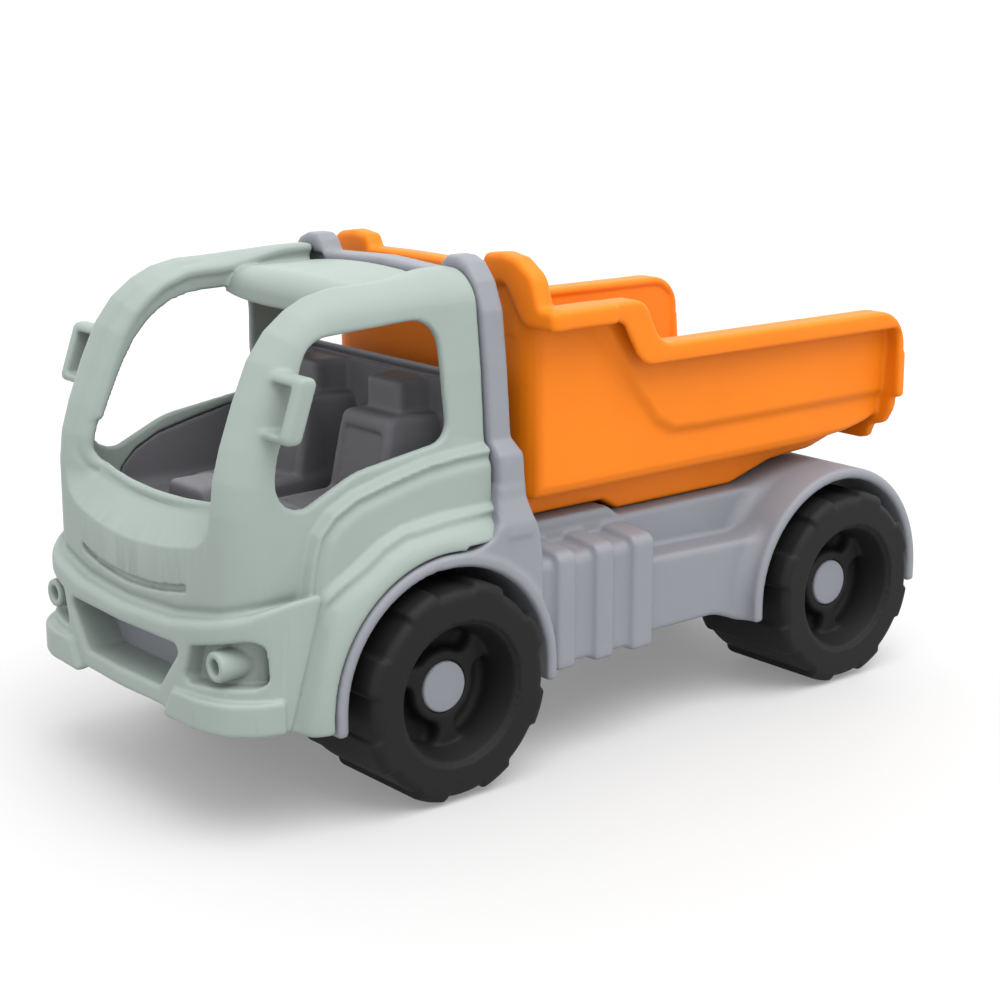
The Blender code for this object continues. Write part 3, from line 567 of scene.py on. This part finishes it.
def side_pad(grid):
    """Panel behind the cab that joins the collar, the front mudguard and the side beam."""
    outline = [
        (-70.0, 60.0), (-70.0, 71.8), (-63.0, 71.8), (-58.6, 72.2), (-54.8, 72.8), (-50.6, 74.8),
        (-48.2, 78.4), (-47.6, 82.0), (-46.2, 88.0), (-37.6, 88.0), (-37.2, 84.0), (-35.0, 78.7),
        (-33.2, 74.1), (-32.0, 66.0), (-31.6, 40.0), (-40.0, 40.0),
    ]
    outer_x = grid.by_z([60, 77, 84.5, 88], [61.1, 61.1, 58.4, 57.9])
    pad = meet(outline_distance(outline, grid.Y, grid.Z), slab(grid.X, UPPER_WALL_X, outer_x), 1.2)
    return cut(pad, front_well(grid), 0.5)


def spine(grid):
    """Backbone box that carries the axles, the seats and the bin's hinge."""
    front = block(grid, (-5.0, SPINE_X), (-112.0, -28.4), (24.0, SPINE_TOP["front"]), 0.8)
    hollow = block(grid, (-5.0, SPINE_X - WALL), (-109.4, -30.0), (0.0, SPINE_TOP["front"] - WALL), 0.8)
    rear = block(grid, (-5.0, SPINE_X), (58.0, 126.0), (24.0, SPINE_TOP["rear"]), 0.8)
    rear_hollow = block(grid, (-5.0, SPINE_X - WALL), (59.4, 123.4), (0.0, SPINE_TOP["rear"] - WALL), 0.8)
    beam = join(cut(front, hollow, 0.5), cut(rear, rear_hollow, 0.5), 0.5)
    hinge = centre_yz("bin_hinge_pin")
    cheek = [(hinge[0] + 8.0, 58.5)] + arc(hinge, 5.0, 0, 180) + [(hinge[0] - 8.0, 58.5)]
    beam = join(beam, prism(grid, cheek, "X", 17.2, SPINE_X, 0.6), 0.8)
    for axle_y, top in ((FRONT_AXLE_Y, SPINE_TOP["front"]), (REAR_AXLE_Y, SPINE_TOP["rear"])):
        for screw_y in (axle_y - 10.0, axle_y + 10.0):
            beam = join(beam, rod(grid, "Z", (0.0, screw_y), 4.0, 29.0, top - 1.0), 0.8)
            beam = cut(beam, rod(grid, "Z", (0.0, screw_y), 1.35, 20.0, 46.0, 0.2), 0.3)
        beam = cut(beam, arch_distance(grid, axle_y) - AXLE_SLOT_RADIUS, 0.4)
    return cut(beam, rod(grid, "X", hinge, PIN_HOLE_RADIUS, -5.0, 30.0, 0.2), 0.3)


def collar_half(inset):
    """Half X-Z outline of the hoop behind the cab, from bottom to top."""
    return [
        (61.2 - inset, 74.0), (61.0 - inset, 78.0), (58.4 - inset, 85.0), (57.2 - inset, 97.0),
        (53.4 - inset, 101.2), (51.7 - inset, 122.0), (49.8 - inset, 138.0),
        (46.4 - inset * 0.9, 146.2 - inset * 0.6), (42.0 - inset * 0.7, 151.2 - inset * 0.8),
        (38.0 - inset * 0.5, 152.8 - inset), (33.0 - inset * 0.5, 152.8 - inset),
        (30.6 - inset * 0.4, 151.0 - inset), (28.6 - inset * 0.4, 147.7 - inset), (0.0, 148.9 - inset),
    ]


def closed(half):
    """Closed outline about u = 0 from a half that ends on it."""
    return half + [(-u, v) for u, v in reversed(half[:-1])]


def collar(grid):
    """Hoop behind the cab with the rear wall and its window."""
    rear = grid.by_z([97.0, 102.0], [-36.0, -37.6])
    hoop = meet(outline_distance(closed(collar_half(0.0)), grid.X, grid.Z), slab(grid.Y, -46.0, rear), 1.8)
    lining = [(u, max(v, 76.0)) for u, v in collar_half(6.0)]
    hoop = cut(hoop, prism(grid, closed(lining), "Y", -60.0, -43.0, 0.8), 0.8)
    hoop = cut(hoop, prism(grid, closed(lining), "Y", -40.2, -20.0, 0.8), 0.8)
    window = rounded([(-42.0, 118.0, 3), (42.0, 118.0, 3), (40.0, 142.6, 5), (-40.0, 142.6, 5)])
    return cut(hoop, prism(grid, window, "Y", -60.0, -20.0, 0.8), 0.8)


def tray(grid):
    """Side beams with their tanks and the rear mudguards, cut out round the wheels."""
    around = arch_distance(grid, REAR_AXLE_Y)
    form = join(side_beams(grid), side_tank(grid), 1.2)
    form = join(form, meet(around - FENDER_RADIUS, FENDER_INNER_X - grid.X, 1.2), 5.0)
    form = meet(form, np.maximum(grid.X - FENDER_OUTER_X, FENDER_END_Z - grid.Z), 1.2)
    form = cut(form, meet(around - WELL_RADIUS, REAR_WELL_INNER_X - grid.X, 0.5), 0.8)
    return cut(form, meet(front_well(grid), FENDER_INNER_X - grid.X, 0.5), 0.5)


def chassis():
    """Grey moulding of the tray, the front mudguards, the pads, the spine and the nose, with the collar."""
    grid = Grid(62.0, (-126.5, 139.0), (24.0, 153.2), 0.8)
    body = join(join(tray(grid), front_fender(grid), 0.8), join(side_pad(grid), collar(grid), 1.5), 1.0)
    body = join(body, spine(grid), 0.8)
    nose = join(block(grid, (-5.0, 32.0), (-126.0, -106.0), (33.2, 36.4), 0.8),
                block(grid, (-5.0, 30.0), (-126.0, -123.4), (34.0, 54.4), 0.8), 0.8)
    body = join(body, nose, 0.8)
    body = cut(body, rod(grid, "Z", (15.0, -117.5), 1.4, 20.0, 40.0, 0.2), 0.3)
    made = skin("chassis_skin", grid, body, GREY, 0.34)
    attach(made, "truck")
    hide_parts("chassis", "cab_collar")


# ---------------------------------------------------------------- cabin

SEAT_X = 21.0


def seat(grid):
    """Seat with a raised-rim cushion and back, and a headrest that runs back to the wall."""
    across = np.abs(grid.X - SEAT_X)
    front_lean = grid.by_z([76, 84, 106], [-74.0, -71.2, -67.0])
    half = grid.by_z([80, 100, 107], [13.6, 12.6, 11.6])
    sweep = half + 3.0 * ease((grid.Y + 62.0) / 14.0)
    back = meet(meet(across - sweep, front_lean - grid.Y, 2.2), grid.Z - 107.0, 2.4)
    panel = meet(across - 9.2, slab(grid.Z, 80.0, 102.4), 2.0)
    back = cut(back, np.maximum(panel, grid.Y - front_lean - 0.9), 0.7)
    head_x = 8.0 + 2.4 * ease((grid.Y + 57.0) / 10.0)
    head = meet(meet(across - head_x, -60.4 - grid.Y, 1.6), grid.Z - 116.8, 1.8)
    cushion = meet(meet(across - 14.0, -93.5 - grid.Y, 3.0), grid.Z - 83.0 - 0.02 * (grid.Y + 90), 2.4)
    inset = meet(across - 9.6, slab(grid.Y, -89.5, -60.0), 2.0)
    cushion = cut(cushion, np.maximum(inset, 82.2 - grid.Z), 0.7)
    whole = join(join(back, head, 1.2), cushion, 1.2)
    return meet(whole, np.maximum(grid.Y + 47.6, 74.5 - grid.Z), 0.4)


def cabin():
    """Tub under the windows, with two seats and a console, in dark grey that is painted shade inside the cab;
    a sheet over the rear wall is painted shade too.
    """
    grid = Grid(54.0, (-134.0, -47.0), (74.2, 119.0), 0.8)
    rim = grid.by_y([-130, -124, -112, -100, -84, -66, -47],
                    [86.5, 87.0, 89.0, 93.0, 97.0, 100.0, 101.5])
    plan = rounded([
        (-20.0, -47.6), (51.4, -47.6), (52.4, -111.0, 12.0), (48.6, -124.6, 8.0), (38.0, -131.0, 8.0),
        (-20.0, -133.0),
    ])
    walls = outline_distance(plan, grid.X, grid.Y)
    tub = meet(walls, np.maximum(grid.Z - rim, 74.3 - grid.Z), 1.0)
    tub = cut(tub, meet(walls + 2.2, 76.6 - grid.Z, 4.0), 0.8)
    tub = join(tub, seat(grid), 1.2)
    desk = rounded([(-14.0, 74.0), (14.0, 74.0), (9.0, 89.5, 2.0), (-9.0, 89.5, 2.0)])
    tub = join(tub, prism(grid, desk, "Y", -115.5, -101.0, 1.6), 1.2)
    # Dark sheet over the collar's inner rear wall: painted shade where the roof shades the wall.
    lining = rounded([(-20.0, 76.0), (46.0, 76.0), (46.0, 117.6, 2.0), (-20.0, 117.6)])
    tub = join(tub, prism(grid, lining, "Y", -49.8, -47.4, 0.6), 0.8)
    tub = meet(tub, cab_outside(grid) + WALL + 0.3, 0.3)
    made = skin("cabin_skin", grid, tub, CABIN_SHADE_GREY)
    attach(made, "truck")
    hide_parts("cab_interior")


# ---------------------------------------------------------------- bin

BIN_FRONT_Y = -29.0
BIN_REAR_Y = 130.5
RIM_OUTER_X = 59.4
SKIRT_X = 38.6


def rim_top():
    """Y-Z points of the rim's top edge, front to rear, down to the rear corner."""
    return [(-70.0, 137.4), (9.2, 137.4, 6.0), (16.4, 123.2, 9.0), (129.8, 122.4, 12.0)]


def bin_silhouette():
    """Y-Z area under the rim's top edge and inside its rear edge."""
    return rounded([(-70.0, 40.0)] + rim_top() + [(BIN_REAR_Y, 40.0)], 8)


def rim_band():
    """Y-Z band of the side rim with the S-step and the rear return."""
    lower = [
        (BIN_REAR_Y, 92.6, 1.0), (127.3, 92.6, 1.0), (127.0, 116.2, 2.5), (8.6, 117.0, 8.0),
        (0.2, 131.4, 4.0), (-70.0, 131.4),
    ]
    return rounded(rim_top() + lower, 8)


def bin_tub(grid, inset):
    """Walls and floor as a solid, shrunk by the inset; its plan has rounded front corners."""
    reach = grid.by_z([76, 83, 170], [48.0, 50.5, 52.0]) - inset
    low_wall = grid.by_y([-60, 93, 112, 122, 134], [79.4, 79.4, 81.4, 83.6, 87.5])
    floor = grid.by_y([-60, 12, 18, 69, 78, 88, 108, 131],
                      [71.4, 71.4, 67.8, 67.8, 70.4, 73.2, 74.4, 80.8]) + inset
    panel = outline_distance([
        (-8.0, 134.0), (11.0, 107.0), (20.5, 96.0), (28.3, 92.0), (40.0, 91.4), (140.0, 91.2), (140.0, 150.0),
        (-12.0, 150.0),
    ], grid.Y, grid.Z)
    swell = 2.0 * ease(-panel / 4.0)
    front_y = BIN_FRONT_Y + 1.6
    plan = rounded([(-30.0, 170.0), (54.6, 170.0), (54.6, front_y, 13.0), (-30.0, front_y)], 8)
    shape = outline_distance(plan, grid.X, grid.Y) + inset
    wall = meet(grid.X - reach - swell, low_wall + inset - grid.Z, 2.0)
    skirt = meet(grid.X - SKIRT_X + inset, floor - grid.Z, 1.6)
    return meet(join(wall, skirt, 0.8), shape, 1.2)


def dump_bin():
    """Orange tipping bin: thin walls, outturned rim, raised front band and a flanged rear end."""
    grid = Grid(62.0, (-29.5, 131.0), (62.0, 152.4), 0.8)
    silhouette = outline_distance(bin_silhouette(), grid.Y, grid.Z)
    outside = bin_tub(grid, 0.0)
    body = cut(outside, bin_tub(grid, WALL), 0.5)
    body = meet(body, np.maximum(silhouette + 0.6, grid.Y - BIN_REAR_Y + 0.4), 0.8)
    rim = meet(outline_distance(rim_band(), grid.Y, grid.Z), slab(grid.X, 49.6, RIM_OUTER_X), 1.5)
    rim = cut(rim, meet(silhouette + 2.6, grid.X - 57.6, 0.8), 0.6)
    rim = meet(rim, BIN_FRONT_Y + 2.0 - grid.Y, 1.0)
    ledge = block(grid, (50.0, 61.0), (BIN_FRONT_Y + 2.0, -2.6), (131.4, 137.4), 1.5)
    ledge = cut(ledge, block(grid, (50.0, 58.4), (-40.0, 0.0), (120.0, 134.8), 0.8), 0.6)
    band_top = [
        (61.0, 131.4, 1.5), (61.0, 137.4, 2.0), (54.4, 137.6, 2.0), (51.4, 146.6, 7.0), (44.0, 151.4, 5.0),
        (37.0, 152.4, 2.0), (29.6, 151.6, 2.0), (27.4, 147.4, 1.0), (-27.4, 147.4),
    ]
    band_low = [(-27.4, 141.4), (30.0, 141.2), (38.5, 143.4, 3.0), (45.5, 133.0, 4.0), (48.4, 131.4)]
    band = prism(grid, rounded(band_top + band_low, 8), "Y", BIN_FRONT_Y, -22.4, 1.6)
    crown = block(grid, (-5.0, 29.0), (BIN_FRONT_Y, -22.4), (141.2, 148.4), 1.6)
    band = join(band, meet(crown, grid.Z - 148.6 + 1.0 * (grid.X / 28.0) ** 2, 1.2), 0.8)
    front = block(grid, (-5.0, 43.0), (BIN_FRONT_Y + 1.6, BIN_FRONT_Y + 4.2), (128.0, 145.0), 0.6)
    flange_half = rounded([
        (-5.0, 76.0), (42.5, 76.0, 2.0), (46.4, 77.0, 2.0), (48.0, 81.4, 1.5), (53.2, 83.0, 2.5),
        (56.0, 88.0, 2.5), (56.6, 92.4, 1.0), (RIM_OUTER_X, 93.2, 1.0), (RIM_OUTER_X, 108.0),
        (50.0, 108.0), (48.2, 88.4, 2.0), (39.8, 87.6, 1.5), (37.4, 83.2, 1.5), (-5.0, 83.2),
    ])
    flange = prism(grid, flange_half, "Y", BIN_REAR_Y - 3.0, BIN_REAR_Y, 1.0)
    hinge = centre_yz("bin_hinge_pin")
    lug = arc(hinge, 5.4, 180, 360) + [(hinge[0] + 8.0, 79.0), (hinge[0] - 9.0, 76.5)]
    body = join(body, join(rim, ledge, 0.6), 0.8)
    body = join(body, join(band, front, 0.8), 0.8)
    body = join(body, flange, 0.8)
    body = join(body, prism(grid, lug, "X", 11.5, 16.8, 0.6), 0.8)
    body = cut(body, rod(grid, "X", hinge, PIN_HOLE_RADIUS, -5.0, 30.0, 0.2), 0.3)
    made = skin("bin_skin", grid, body, ORANGE, 0.5)
    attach(made, "bin")
    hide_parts("dump_bin")


# ---------------------------------------------------------------- wheels

LUG_TURN = -20.0                        # degrees from +Y to the middle of a lug
SPOKE_TURN = 36.0                       # degrees from +Y to the middle of a spoke
TREAD_RADIUS = 30.9
LUG_HEIGHT = 1.6
HUB_RADIUS = 5.0
CAP_FLAT_RADIUS = 6.9                   # flat part of a hub cap's face
CAP_ROUNDING = 0.7
CAP_STEPS = 72


def nearest_turn(angle, first, count):
    """Degrees from the nearest of evenly spaced directions."""
    period = 360.0 / count
    return np.abs((angle - first + period / 2) % period - period / 2)


def wheel_field(grid):
    """Hollow moulded wheel: lugged tread, ringed rim, dished centre with three kidney pockets."""
    radius = np.hypot(grid.Y, grid.Z)
    angle = np.degrees(np.arctan2(grid.Z, grid.Y))
    lug = ease((11.2 - nearest_turn(angle, LUG_TURN, 8)) / 2.2)
    tread = TREAD_RADIUS + LUG_HEIGHT * lug
    tyre = meet(radius - tread, slab(grid.X, TYRE_INNER_X, TYRE_OUTER_X), 3.0)
    dish_x = np.interp(radius, [0.0, 17.6, 20.2, 20.6, 21.4, 22.2], [57.2, 57.2, 64.6, 65.2, 65.2, 70.0])
    tyre = meet(tyre, (grid.X - dish_x) * 0.6, 0.6)
    spoke = (15.0 - nearest_turn(angle, SPOKE_TURN, 3)) * radius * math.radians(1.0)
    pocket = meet(meet(slab(radius, 11.2, 17.8), spoke, 2.6), 51.8 - grid.X, 2.4)
    tyre = cut(tyre, pocket, 1.6)
    tyre = cut(tyre, np.maximum(radius - 7.75, 53.6 - grid.X), 0.4)
    web_x = np.interp(radius, [0, 19.0, 23, 30], [47.6, 47.6, 62.6, 62.6])
    inner = meet(slab(radius, HUB_RADIUS, 28.2), (grid.X - web_x) * 0.7, 1.0)
    tyre = cut(tyre, inner, 0.8)
    tyre = cut(tyre, np.maximum(radius - HUB_RADIUS, grid.X - TYRE_INNER_X - 1.0), 0.3)
    return cut(tyre, radius - PIN_HOLE_RADIUS, 0.3)


def wheel_places():
    """Each wheel's axle and side by name, the sign of its x and its axle's y."""
    for place, axle_y in (("front", FRONT_AXLE_Y), ("rear", REAR_AXLE_Y)):
        for hand, side in (("left", 1), ("right", -1)):
            yield place, hand, side, axle_y


def place_on_axle(name, mesh, axle_y):
    """Object that turns about its axle, as its origin is on the axle."""
    made = bpy.data.objects.new(name, mesh)
    made.location = (0.0, axle_y * MM, WHEEL_Z * MM)
    bpy.context.scene.collection.objects.link(made)
    return made


def wheels():
    """Four copies of one wheel, those on the right mirrored."""
    grid = Grid(TYRE_OUTER_X, (-32.5, 32.5), (-32.5, 32.5), 0.7)
    grid.crop_x(TYRE_INNER_X)
    left = skin("tyre_left", grid, wheel_field(grid), BLACK, 0.6, mirror=False)
    for place, hand, side, axle_y in wheel_places():
        mesh = left.data.copy()
        mesh.transform(Matrix.Diagonal((side, 1, 1, 1)))
        if side < 0:
            mesh.flip_normals()
        made = place_on_axle(f"wheel_{place}_{hand}_skin", mesh, axle_y)
        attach(made, place + "_wheelset")
        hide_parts(f"wheel_{place}_{hand}")
    bpy.data.objects.remove(left)


def cap_outline(seat_x, face_x):
    """(x, radius) points of a cap from its seat in the hub to the middle of its slightly domed face."""
    edge = [(seat_x, 7.3), (seat_x + 0.3, 7.6)]
    for angle in np.radians([0, 22, 45, 68, 90]):
        edge.append((face_x - CAP_ROUNDING + CAP_ROUNDING * math.sin(angle),
                     CAP_FLAT_RADIUS + CAP_ROUNDING * math.cos(angle)))
    return edge + [(face_x + 0.12, 3.0), (face_x + 0.15, 0.6)]


def turned_mesh(name, outline, side):
    """Outline turned round the x axis and closed at both ends."""
    mesh = bmesh.new()
    turns = np.linspace(0, 2 * math.pi, CAP_STEPS, endpoint=False)
    rings = []
    for x, radius in outline:
        rings.append([mesh.verts.new((side * x * MM, radius * math.cos(t) * MM, radius * math.sin(t) * MM))
                      for t in turns])
    for near, far in zip(rings, rings[1:]):
        for step in range(CAP_STEPS):
            following = (step + 1) % CAP_STEPS
            mesh.faces.new((near[step], near[following], far[following], far[step]))
    mesh.faces.new(rings[0])
    mesh.faces.new(rings[-1])
    bmesh.ops.recalc_face_normals(mesh, faces=mesh.faces)
    data = bpy.data.meshes.new(name)
    mesh.to_mesh(data)
    mesh.free()
    data.shade_smooth()
    data.set_sharp_from_angle(angle=math.radians(40))
    data.materials.append(GREY)
    return data


def hub_caps():
    """Grey caps with a softened rim, seated in the wheels' hubs."""
    for place, hand, side, axle_y in wheel_places():
        node = f"hub_cap_{place}_{hand}"
        low, high = corners(node)
        seat_x, face_x = (low[0], high[0]) if side > 0 else (-high[0], -low[0])
        mesh = turned_mesh(node + "_skin", cap_outline(seat_x, face_x), side)
        made = place_on_axle(node + "_skin", mesh, axle_y)
        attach(made, place + "_wheelset")
        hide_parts(node)


# ---------------------------------------------------------------- studio

FLOOR_TONE = 0.33
FLOOR_GLOW = 0.2                        # lightens the shadow on the floor
WORLD_STRENGTH = 1.7
SUN_STRENGTH = 2.9
CAMERA_PLACE = (0.4939, -0.4086, 0.2284)
CAMERA_TURN = (75.78, 0.0, 50.27)       # degrees
CAMERA_LENS = 73.41


def pale_floor():
    """Wide floor under the wheels."""
    bpy.ops.mesh.primitive_plane_add(size=80.0, location=(0.0, 0.0, 0.0))
    floor = bpy.context.object
    floor.name = "floor"
    paint = bpy.data.materials.new("floor_paint")
    paint.use_nodes = True
    shader = paint.node_tree.nodes["Principled BSDF"]
    shader.inputs["Base Color"].default_value = (FLOOR_TONE, FLOOR_TONE, FLOOR_TONE, 1.0)
    shader.inputs["Roughness"].default_value = 0.7
    shader.inputs["Emission Color"].default_value = (1.0, 1.0, 1.0, 1.0)
    shader.inputs["Emission Strength"].default_value = FLOOR_GLOW
    floor.data.materials.append(paint)


def lighting():
    """Even white world and one wide, soft sun from above."""
    world = bpy.data.worlds.new("studio")
    world.use_nodes = True
    world.node_tree.nodes["Background"].inputs["Color"].default_value = (1.0, 1.0, 1.0, 1.0)
    world.node_tree.nodes["Background"].inputs["Strength"].default_value = WORLD_STRENGTH
    bpy.context.scene.world = world
    bpy.context.scene.view_settings.view_transform = "Standard"
    data = bpy.data.lights.new("overhead", "SUN")
    data.energy = SUN_STRENGTH
    data.angle = math.radians(50.0)
    lamp = bpy.data.objects.new("overhead", data)
    lamp.rotation_euler = Vector((-0.45, 0.0, -1.0)).to_track_quat("-Z", "Y").to_euler()
    bpy.context.scene.collection.objects.link(lamp)


def viewpoint():
    """Camera at the truck's front left."""
    lens = bpy.data.cameras.new("camera")
    lens.lens = CAMERA_LENS
    lens.sensor_width = 36.0
    camera = bpy.data.objects.new("camera", lens)
    camera.location = CAMERA_PLACE
    camera.rotation_euler = tuple(math.radians(angle) for angle in CAMERA_TURN)
    bpy.context.scene.collection.objects.link(camera)
    bpy.context.scene.camera = camera


def finish_packed():
    """Grey plastic on the axle retainers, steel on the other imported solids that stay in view."""
    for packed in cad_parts.values():
        if packed.hide_render:
            continue
        packed.data.materials.clear()
        packed.data.materials.append(GREY if packed.name.endswith("retainer") else STEEL)


cab_shell()
chassis()
cabin()
dump_bin()
wheels()
hub_caps()
pale_floor()
lighting()
viewpoint()
finish_packed()
